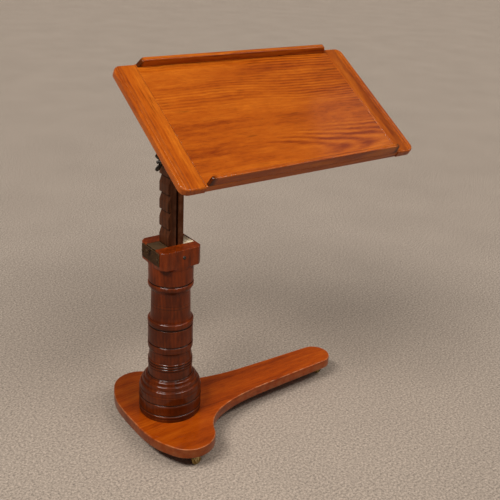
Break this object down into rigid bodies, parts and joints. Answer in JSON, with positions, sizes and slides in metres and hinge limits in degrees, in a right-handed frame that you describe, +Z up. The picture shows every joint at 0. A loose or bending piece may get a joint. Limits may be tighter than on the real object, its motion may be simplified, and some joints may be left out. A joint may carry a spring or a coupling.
{
  "type": "reading stand",
  "caption": "Wooden reading stand: tilting board with two ledges on a toothed, height-adjustable mast in a turned column, on a T-shaped plank foot with castors.",
  "frame": {"origin": "on the floor, under the middle of the stand's bounding box", "axes": "+Z up; +X along the foot's arm, from the column towards the far end of the board; -Y towards the reader"},
  "size_m": [0.7516, 0.3874, 0.9431],
  "materials": {
    "plank_mahogany": "varnished",
    "column_mahogany": "varnished",
    "mast_mahogany": "worn satin",
    "board_mahogany": "varnished",
    "packing_wood": "bare",
    "dark_iron": "blackened",
    "brass": "tarnished",
    "steel": "dull"
  },
  "bodies": {
    "base": {"base_plank": "plank_mahogany", "column_drum": "column_mahogany", "column_shaft": "column_mahogany", "column_head": "column_mahogany", "column_screw_1": "steel", "column_screw_2": "steel", "column_screw_3": "steel", "column_screw_4": "steel", "packing_block": "packing_wood", "guide_screw": "steel", "catch_plate": "dark_iron", "catch_screw_1": "steel", "catch_screw_2": "steel", "catch_stop_pin": "steel", "catch_spring": "steel", "castor_plate_front": "brass", "castor_screw_front_1": "steel", "castor_screw_front_2": "steel", "castor_plate_back": "brass", "castor_screw_back_1": "steel", "castor_screw_back_2": "steel", "castor_plate_arm": "brass", "castor_screw_arm_1": "steel", "castor_screw_arm_2": "steel"},
    "castor_front": {"castor_fork_front": "brass", "castor_axle_front": "brass"},
    "wheel_front": {"castor_wheel_front": "brass"},
    "castor_back": {"castor_fork_back": "brass", "castor_axle_back": "brass"},
    "wheel_back": {"castor_wheel_back": "brass"},
    "castor_arm": {"castor_fork_arm": "brass", "castor_axle_arm": "brass"},
    "wheel_arm": {"castor_wheel_arm": "brass"},
    "catch": {"catch_bolt": "dark_iron", "catch_pull": "dark_iron"},
    "mast": {"mast": "mast_mahogany", "tilt_bolt": "dark_iron", "washer_left": "dark_iron", "washer_right": "dark_iron"},
    "wing_nut": {"wing_nut": "dark_iron"},
    "board": {"tilt_tongue": "mast_mahogany", "board_bearer": "plank_mahogany", "bearer_screw_1": "steel", "bearer_screw_2": "steel", "bearer_screw_3": "steel", "bearer_screw_4": "steel", "top_panel": "board_mahogany", "cleat_left": "board_mahogany", "cleat_right": "board_mahogany", "ledge_front": "board_mahogany", "ledge_back": "board_mahogany", "ledge_screw_1": "steel", "ledge_screw_2": "steel", "ledge_screw_3": "steel", "ledge_screw_4": "steel", "ledge_screw_5": "steel", "ledge_screw_6": "steel"}
  },
  "joints": [
    {"name": "mast_lift", "type": "slide", "parent": "base", "child": "mast", "axis": [0, 0, 1], "range_m": [-0.17, 0.17]},
    {"name": "board_tilt", "type": "hinge", "parent": "mast", "child": "board", "pos_m": [-0.26125, 0, 0.7385], "axis": [1, 0, 0], "range_deg": [-32.5, 43]},
    {"name": "wing_nut_turn", "type": "hinge", "parent": "mast", "child": "wing_nut", "pos_m": [-0.26125, 0, 0.7385], "axis": [-1, 0, 0], "range_deg": [0, 360]},
    {"name": "catch_slide", "type": "slide", "parent": "base", "child": "catch", "axis": [1, 0, 0], "range_m": [0, 0.0055]},
    {"name": "swivel_front", "type": "hinge", "parent": "base", "child": "castor_front", "pos_m": [-0.29125, -0.164, 0.03], "axis": [0, 0, 1], "continuous": true},
    {"name": "roll_front", "type": "hinge", "parent": "castor_front", "child": "wheel_front", "pos_m": [-0.28225, -0.164, 0.0125], "axis": [0, 1, 0], "continuous": true},
    {"name": "swivel_back", "type": "hinge", "parent": "base", "child": "castor_back", "pos_m": [-0.29125, 0.164, 0.03], "axis": [0, 0, 1], "continuous": true},
    {"name": "roll_back", "type": "hinge", "parent": "castor_back", "child": "wheel_back", "pos_m": [-0.28225, 0.164, 0.0125], "axis": [0, 1, 0], "continuous": true},
    {"name": "swivel_arm", "type": "hinge", "parent": "base", "child": "castor_arm", "pos_m": [0.24175, 0, 0.03], "axis": [0, 0, 1], "continuous": true},
    {"name": "roll_arm", "type": "hinge", "parent": "castor_arm", "child": "wheel_arm", "pos_m": [0.25075, 0, 0.0125], "axis": [0, 1, 0], "continuous": true}
  ]
}
